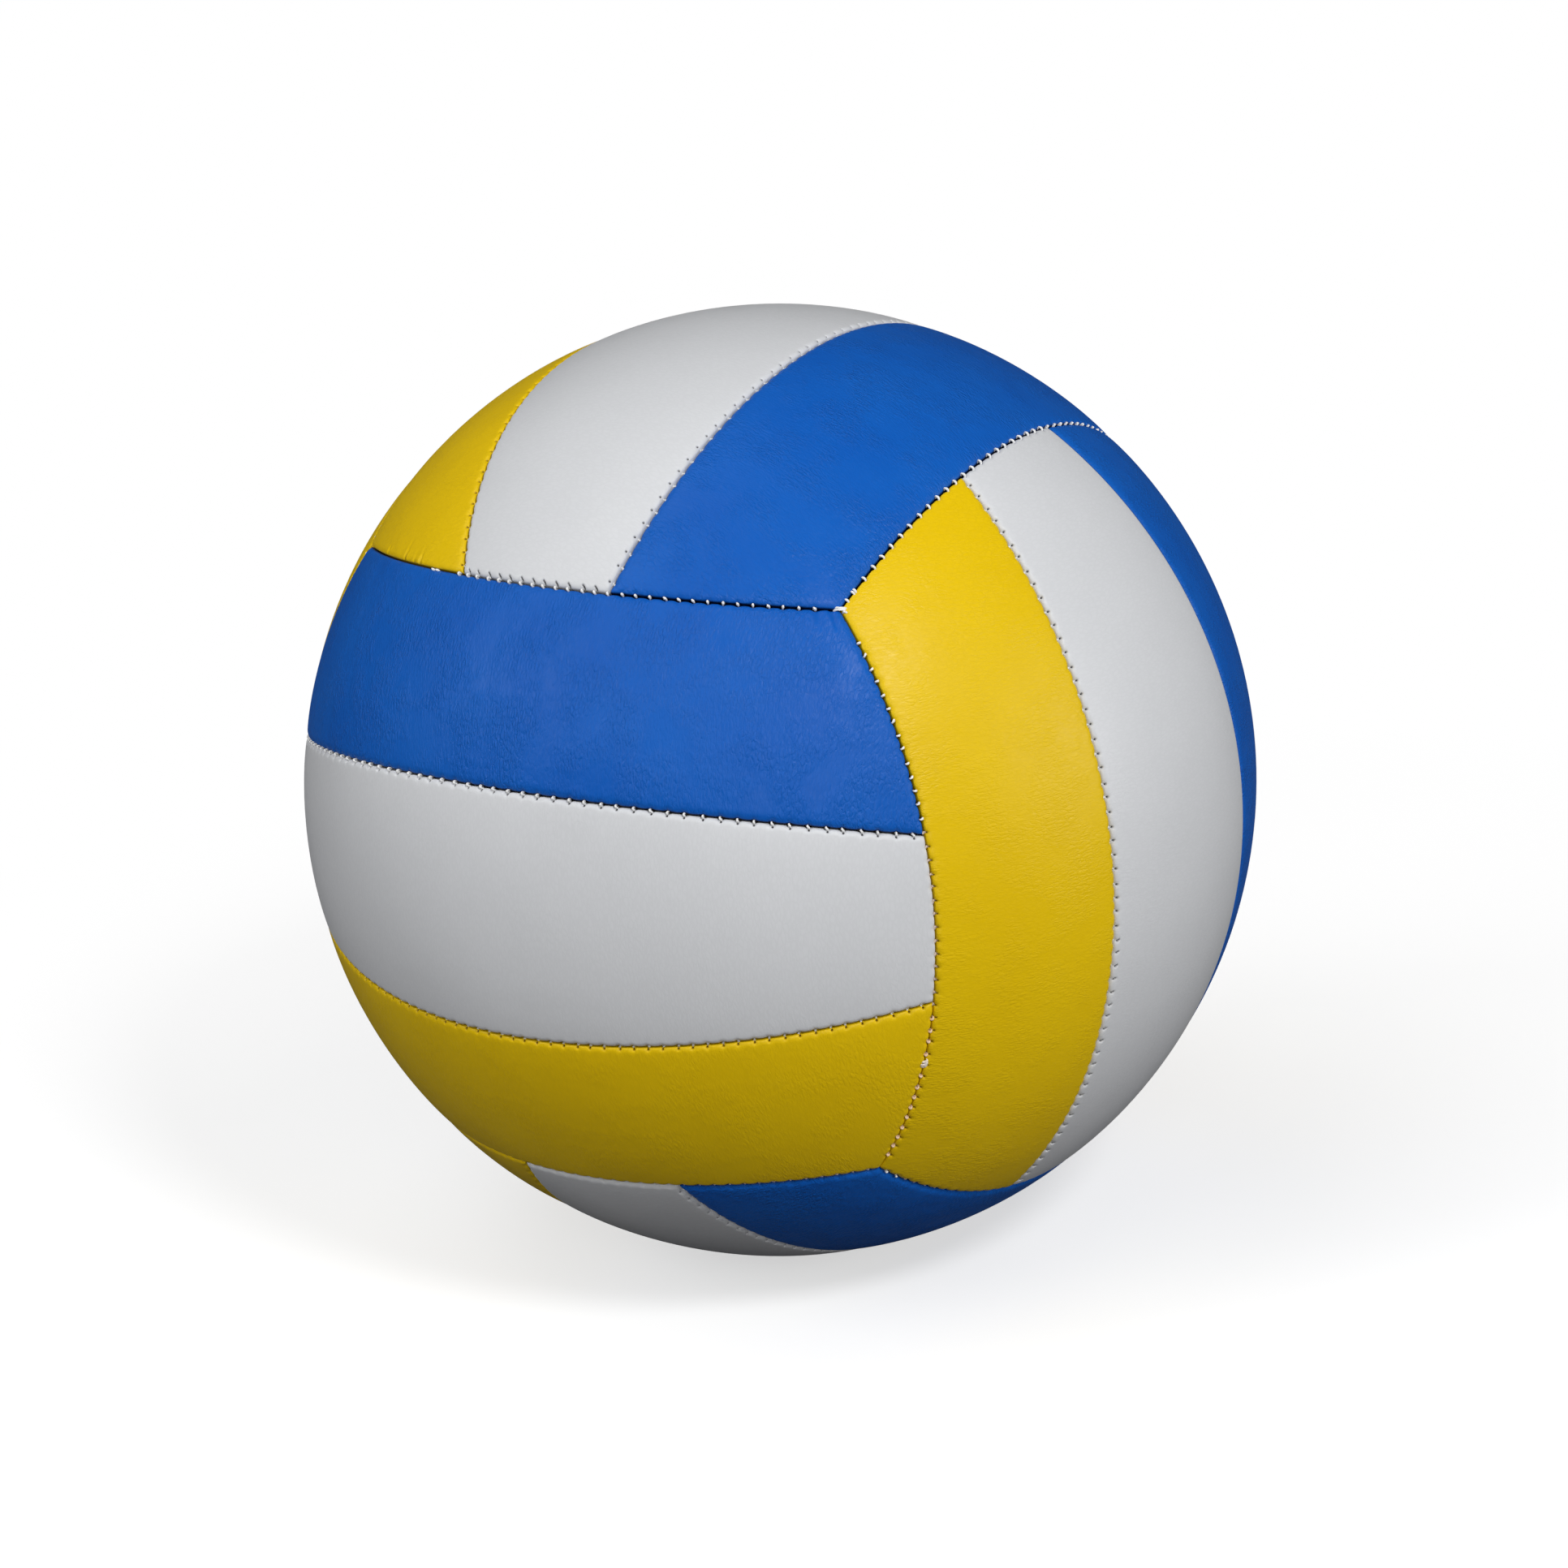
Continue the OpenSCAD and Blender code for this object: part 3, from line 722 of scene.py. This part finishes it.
def leather(name, colour, shade, painted_shade_colour, grain, shine, run_axis):
    """Synthetic leather: fine grain that is drawn out across the strip, with painted shade in the creases
    of its grain, its needle holes, grooves and folds.
    """
    material, tree, shader = new_material(name)
    place = object_place(tree)
    mapping = tree.nodes.new("ShaderNodeMapping")
    scale = [1 / (GRAIN_ACROSS * MM)] * 3
    scale["XYZ".index(run_axis)] = 1 / (GRAIN_ALONG * MM)
    mapping.inputs["Scale"].default_value = scale
    tree.links.new(place, mapping.inputs["Vector"])
    drawn = mapping.outputs[0]
    # creases: the edges of cells that noise has bent
    bend = tree.nodes.new("ShaderNodeVectorMath")
    bend.operation = "MULTIPLY_ADD"
    tree.links.new(noise(tree, drawn, BEND_SCALE, 2)["Color"], bend.inputs[0])
    bend.inputs[1].default_value = (BEND,) * 3
    tree.links.new(drawn, bend.inputs[2])
    cells = tree.nodes.new("ShaderNodeTexVoronoi")
    cells.feature = "DISTANCE_TO_EDGE"
    cells.inputs["Scale"].default_value = CELL_SCALE
    tree.links.new(bend.outputs[0], cells.inputs["Vector"])
    crease = ramp(tree, cells.outputs["Distance"], 0.0, CREASE_W)
    fine = noise(tree, drawn, FINE_SCALE, 2)["Fac"]
    height = maths(tree, "ADD", maths(tree, "MULTIPLY", crease, CREASE_SHARE), fine)
    patches = ramp(tree, noise(tree, place, PATCH_SCALE, 2)["Fac"], *PATCH_RANGE, *PATCH_DEPTHS)
    bump(tree, shader, maths(tree, "MULTIPLY", height, patches), grain, GRAIN_DEPTH)
    tone = ramp(tree, noise(tree, place, TONE_SCALE, 3)["Fac"], *NOISE)
    base = mix_colour(tree, tone, (*shade, 1), (*colour, 1))
    # painted shade in the creases of the grain: a darker tone of the colour, mixed in by the creases
    darker = tuple(CREASE_SHADE_TONE * k for k in colour)
    base = mix_colour(tree, ramp(tree, crease, 0.0, 1.0, CREASE_SHADE_SHARE, 0.0), base, (*darker, 1))
    # painted shade in the needle holes, the grooves and the insides of folds, by vertex
    base = mix_colour(tree, ramp(tree, vertex_value(tree, "pit_painted_shade"), *PAINTED_SHADE_RANGE), base, (*painted_shade_colour, 1))
    tree.links.new(base, shader.inputs["Base Color"])
    rough = ramp(tree, fine, *NOISE, *LEATHER_ROUGHNESS)
    tree.links.new(rough, shader.inputs["Roughness"])
    shader.inputs["Specular IOR Level"].default_value = shine
    return material


FIBRE_SCALE, FIBRE_RANGE = 4200, (0.35, 0.65)  # fibres to the metre, and the range of their noise
THREAD_WHITE, THREAD_SHADE, THREAD_TAN = (0.88, 0.88, 0.87), (0.74, 0.74, 0.73), (0.78, 0.52, 0.33)


def thread_material():
    """Off-white thread with fine fibres, tan where it is stained."""
    material, tree, shader = new_material("sewing_thread")
    fibres = noise(tree, object_place(tree), FIBRE_SCALE, 2)["Fac"]
    base = mix_colour(tree, ramp(tree, fibres, *FIBRE_RANGE), (*THREAD_SHADE, 1), (*THREAD_WHITE, 1))
    base = mix_colour(tree, vertex_value(tree, "stain"), base, (*THREAD_TAN, 1))
    tree.links.new(base, shader.inputs["Base Color"])
    bump(tree, shader, fibres, 0.5, 0.05)
    shader.inputs["Roughness"].default_value = 0.6
    shader.inputs["Sheen Weight"].default_value = 0.2
    return material


WAVE_RADIANS = 20  # how far a wave texture turns in one of its units


def grainy(name, light, dark, size, roughness, strength, distance, weave=False):
    """A material of even speckle, or of weave, for the layers inside the ball."""
    material, tree, shader = new_material(name)
    place = object_place(tree)
    if weave:
        bands = []
        for way in ("X", "Z"):
            wave = tree.nodes.new("ShaderNodeTexWave")
            wave.bands_direction = way
            wave.inputs["Scale"].default_value = 1 / (size * MM * WAVE_RADIANS)
            wave.inputs["Distortion"].default_value = 0.6
            tree.links.new(place, wave.inputs["Vector"])
            bands.append(wave.outputs["Fac"])
        pattern = maths(tree, "MULTIPLY", *bands)
    else:
        pattern = ramp(tree, noise(tree, place, 1 / (size * MM), 3)["Fac"], *NOISE)
    base = mix_colour(tree, pattern, (*dark, 1), (*light, 1))
    tree.links.new(base, shader.inputs["Base Color"])
    bump(tree, shader, pattern, strength, distance)
    shader.inputs["Roughness"].default_value = roughness
    return material


# name: colour, a darker shade of it, the colour of the painted shade in holes, grooves and folds,
# strength of the grain, shine
COLOURS = {
    "blue": ((0.006, 0.107, 0.47), (0.004, 0.092, 0.435), (0.001, 0.003, 0.022), 1.0, 0.15),
    "white": ((0.64, 0.65, 0.668), (0.62, 0.63, 0.648), (0.03, 0.027, 0.03), 0.16, 0.22),
    "yellow": ((0.755, 0.51, 0.002), (0.73, 0.485, 0.0015), (0.06, 0.017, 0.002), 0.42, 0.2),
}
LEATHERS = {(colour, axis): leather(f"leather_{colour}_{axis}", *COLOURS[colour], axis)
            for colour in COLOURS for axis in "XYZ"}

# Panels
for face in FACES:
    run_axis = "XYZ"[int(np.argmax(FACES[face][1]))]
    for colour in STRIPS:
        verts, triangles, pit_painted_shade = Panel(face, colour).mesh()
        piece = make_object(f"{face}_{colour}_cover", verts, triangles, LEATHERS[(colour, run_axis)],
                            "pit_painted_shade", pit_painted_shade)
        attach(piece, "root")
        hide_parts(f"{face}_{colour}_panel")

# Thread
THREAD_R = 0.26
TUBE_SIDES = 8
PLIES, WAIST, PLY = 2, 0.9, 0.16  # how many, and their middle radius and swell in the thread's radius
TWIST = 1.6 * math.pi  # how far they turn in a stitch
# The way of a stitch from hole to hole: its places across the seam, in reaches, and their depths
ACROSS = np.array([-1.0, -0.98, -0.8, -0.42, 0, 0.42, 0.8, 0.98, 1.0])
DEPTHS = np.array([1.35, 1.0, 0.72, 0.6, 0.58, 0.6, 0.72, 1.0, 1.35])


def stitch(seam, along, lean, slant, reach, rise):
    """One stitch: a tight bar of two-ply thread from one needle hole over the seam to the other."""
    depth = DEPTHS.copy()
    depth[2:-2] -= rise
    centre = seam.at(along + ACROSS * slant, lean + ACROSS * reach) * (BALL_R - depth)[:, None]
    way = unit_rows(np.gradient(centre, axis=0))
    up = unit_rows(np.cross(way, unit_rows(centre)) + 1e-9)  # not zero where it runs straight down
    over = np.cross(way, up)
    a = 2 * math.pi * np.arange(TUBE_SIDES) / TUBE_SIDES
    turn = np.linspace(0, TWIST, len(ACROSS))
    lobes = THREAD_R * (WAIST + PLY * np.cos(PLIES * (a[None] - turn[:, None])))
    ring = (centre[:, None] + lobes[..., None] * (np.cos(a)[None, :, None] * up[:, None]
                                                 + np.sin(a)[None, :, None] * over[:, None]))
    return ring.reshape(-1, 3)


def tube_faces(rows, n):
    """Triangles of a closed tube of rows of n vertices."""
    faces = []
    for k in range(rows - 1):
        for i in range(n):
            j = (i + 1) % n
            faces.append((k * n + i, k * n + j, (k + 1) * n + j))
            faces.append((k * n + i, (k + 1) * n + j, (k + 1) * n + i))
    last = (rows - 1) * n
    for i in range(1, n - 1):
        faces.append((0, i + 1, i))
        faces.append((last, last + i, last + i + 1))
    return np.array(faces)


# Each stitch: seam, place, lean, slant, reach, rise and stain
thread_run = [(seam, place, look.lean, look.slant + skew, look.reach, look.rise, look.stain)
              for seam in SEAMS.values()
              for place, skew, look in zip(seam.stitches, seam.skew, seam.looks) if look]
# The thread is bunched where a run was started or ended
top_front, top_right = SEAMS[("outer", "front", 1)], SEAMS[("outer", "top", 1)]
yellow_meet = SEAMS[("outer", "right", -1)]
thread_run += [
    (top_right, 2.4, 0.0, 0.1, 0.5, 0.16, 0.0),
    (top_right, 4.5, 0.0, 0.1, 0.5, 0.16, 0.0),
    (top_right, 5.1, 0.0, 0.15, 0.45, 0.2, 0.0),
    (top_front, 44.2, 0.35, 0.35, 0.1, 0.3, 0.0),
    (top_front, 45.6, 0.3, 0.4, 0.05, 0.2, 0.0),
    (top_front, top_front.length + 0.1, -0.3, 1.1, 0.06, 0.3, 0.0),
    (top_front, top_front.length - 0.1, 0.1, 1.2, -0.1, 0.34, 0.0),
    (top_front, top_front.length + 0.9, 0.55, 0.35, 0.1, 0.3, 0.0),
    (yellow_meet, 30.4, 0.1, 0.2, 0.6, 0.15, 0.4),
    (yellow_meet, 31.0, 0.0, 0.25, 0.7, 0.3, 0.3),
    (yellow_meet, 31.6, -0.05, 0.15, 0.65, 0.2, 0.4),
    (yellow_meet, 31.2, 0.2, 0.9, 0.2, 0.4, 0.3),
]
tube, tube_size = tube_faces(len(ACROSS), TUBE_SIDES), len(ACROSS) * TUBE_SIDES
verts = np.concatenate([stitch(*row[:-1]) for row in thread_run])
faces = np.concatenate([tube + k * tube_size for k in range(len(thread_run))])
stains = np.repeat([row[-1] for row in thread_run], tube_size)
thread = make_object("sewing_thread", verts, faces, thread_material(), "stain", stains)
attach(thread, "root")
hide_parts("seam_thread")

# Layers and valve, kept from the CAD
rubber = grainy("valve_rubber", (0.035, 0.035, 0.04), (0.022, 0.022, 0.026), 0.6, 0.5, 0.25, 0.04)
LOOKS = {  # by the last word of the node's name
    "foam": grainy("closed_cell_foam", (0.80, 0.78, 0.70), (0.66, 0.64, 0.56), 0.35, 0.9, 0.5, 0.08),
    "lining": grainy("woven_lining", (0.62, 0.60, 0.52), (0.40, 0.38, 0.32), 0.5, 0.95, 0.6, 0.1,
                     weave=True),
    "bladder": grainy("bladder_rubber", (0.085, 0.075, 0.07), (0.06, 0.052, 0.05), 1.5, 0.55, 0.2, 0.05),
    "patch": rubber,
    "body": rubber,
    "core": grainy("core_rubber", (0.26, 0.22, 0.2), (0.2, 0.17, 0.15), 0.5, 0.6, 0.2, 0.04),
}
for name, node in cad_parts.items():
    look = LOOKS.get(name.split("_")[-1])
    if look is not None:
        node.data.materials.clear()
        node.data.materials.append(look)

# Floor and world
FLOOR_Z_M, FLOOR_R_M = -BALL_R * MM, 6
SHADOW_FROM_M, SHADOW_TO_M = 0.18, 0.42  # where the ball's shadow starts to fade, and where it has gone
# The floor's colour under the shadow, its colour to the ball, and the light that is added to the shadow
FLOOR_GREY, DIM_GREY, SHADOW_LIFT = (0.62, 0.62, 0.62, 1), (0.09, 0.09, 0.094, 1), 0.56


def floor_material():
    """White to the camera, with the ball's shadow near the ball, and dim to the ball itself."""
    material, tree, shader = new_material("pale_floor")
    shader.inputs["Base Color"].default_value = FLOOR_GREY
    shader.inputs["Roughness"].default_value = 0.9
    shader.inputs["Specular IOR Level"].default_value = 0.0
    dim = tree.nodes.new("ShaderNodeBsdfDiffuse")
    dim.inputs["Color"].default_value = DIM_GREY
    lift, far = tree.nodes.new("ShaderNodeEmission"), tree.nodes.new("ShaderNodeEmission")
    lift.inputs["Strength"].default_value = SHADOW_LIFT
    far.inputs["Strength"].default_value = 1.0
    near = tree.nodes.new("ShaderNodeAddShader")
    tree.links.new(shader.outputs[0], near.inputs[0])
    tree.links.new(lift.outputs[0], near.inputs[1])
    reach = tree.nodes.new("ShaderNodeVectorMath")
    reach.operation = "LENGTH"
    tree.links.new(object_place(tree), reach.inputs[0])
    fade = ramp(tree, reach.outputs["Value"], SHADOW_FROM_M, SHADOW_TO_M)
    shown = mix_shader(tree, fade, near.outputs[0], far.outputs[0])
    camera_ray = tree.nodes.new("ShaderNodeLightPath").outputs["Is Camera Ray"]
    tree.links.new(mix_shader(tree, camera_ray, dim.outputs[0], shown),
                   tree.nodes["Material Output"].inputs["Surface"])
    return material


bpy.ops.mesh.primitive_circle_add(vertices=96, radius=FLOOR_R_M, fill_type="NGON",
                                  location=(0, 0, FLOOR_Z_M))
floor = bpy.context.object
floor.name = "floor"
floor.data.materials.append(floor_material())

# a faint fill light, and plain white to the camera
world = bpy.data.worlds.new("studio")
bpy.context.scene.world = world
world.use_nodes = True
sky = world.node_tree
sky.nodes.clear()
fill, plain = sky.nodes.new("ShaderNodeBackground"), sky.nodes.new("ShaderNodeBackground")
fill.inputs["Color"].default_value = (0.97, 0.98, 1.0, 1)
fill.inputs["Strength"].default_value = 0.05
plain.inputs["Color"].default_value = (1, 1, 1, 1)
plain.inputs["Strength"].default_value = 1.0
camera_ray = sky.nodes.new("ShaderNodeLightPath").outputs["Is Camera Ray"]
sky.links.new(mix_shader(sky, camera_ray, fill.outputs[0], plain.outputs[0]),
              sky.nodes.new("ShaderNodeOutputWorld").inputs["Surface"])

# Camera and lamps

# The photograph's view, fitted to the ball's outline and the ends of its seams: angles, distance from the
# middle of the ball, lens, and the shift of the image in its own pixels
AZIMUTH, ELEVATION, ROLL = 35.654, 16.047, 4.956
CAMERA_M = 8.5865 * BALL_R * MM
SENSOR, LENS, CLIP_M = 36, 93.28, (0.01, 20)
IMAGE_PX, SHIFT_PX = 1932, (4.7, -5.1)
azimuth, elevation, roll = (math.radians(k) for k in (AZIMUTH, ELEVATION, ROLL))
back = Vector((math.sin(azimuth) * math.cos(elevation), -math.cos(azimuth) * math.cos(elevation),
               math.sin(elevation)))
across = Vector((math.cos(azimuth), math.sin(azimuth), 0))
upward = back.cross(across)
right = math.cos(roll) * across - math.sin(roll) * upward
up = back.cross(right)
camera = bpy.data.objects.new("camera", bpy.data.cameras.new("camera"))
bpy.context.scene.collection.objects.link(camera)
facing = Matrix((right, up, back)).transposed().to_4x4()
camera.matrix_world = Matrix.Translation(back * CAMERA_M) @ facing
camera.data.sensor_width, camera.data.lens = SENSOR, LENS
camera.data.shift_x, camera.data.shift_y = (k / IMAGE_PX for k in SHIFT_PX)
camera.data.clip_start, camera.data.clip_end = CLIP_M
bpy.context.scene.camera = camera

LAMP_M = 1.9  # from the middle of the ball
# Round soft lamps that face the ball: name, direction (right, up and towards the camera), diameter in
# metres and power in watts
LAMPS = [
    ("key", (0.32, 0.43, 0.84), 0.4, 15.6),
    ("overhead", (-0.35, 0.88, 0.3), 1.2, 4.6),
    ("over_left", (-0.6, 0.75, 0.3), 1.2, 3),
    ("front_left", (-0.5, 0.45, 0.74), 1.4, 4.2),
    ("front_low", (0.0, -0.03, 1.0), 1.0, 9.2),
    ("left", (-0.85, 0.3, 0.4), 1.0, 10),
    ("right", (0.92, 0.1, 0.35), 1.0, 13),
    ("behind", (0.0, 0.34, -0.94), 0.7, 9),
]
for name, way, size_m, power in LAMPS:
    light = bpy.data.lights.new(name, "AREA")
    light.shape = "DISK"
    light.size = size_m
    light.energy = power
    lamp = bpy.data.objects.new(name, light)
    bpy.context.scene.collection.objects.link(lamp)
    lamp.location = (right * way[0] + up * way[1] + back * way[2]).normalized() * LAMP_M
    lamp.rotation_mode = "QUATERNION"
    lamp.rotation_quaternion = lamp.location.to_track_quat("Z", "Y")
    # the one behind lights the back, and would only make a glare on the upper rim seen from the front
    lamp.visible_glossy = name != "behind"

bpy.context.scene.view_settings.view_transform = "Standard"
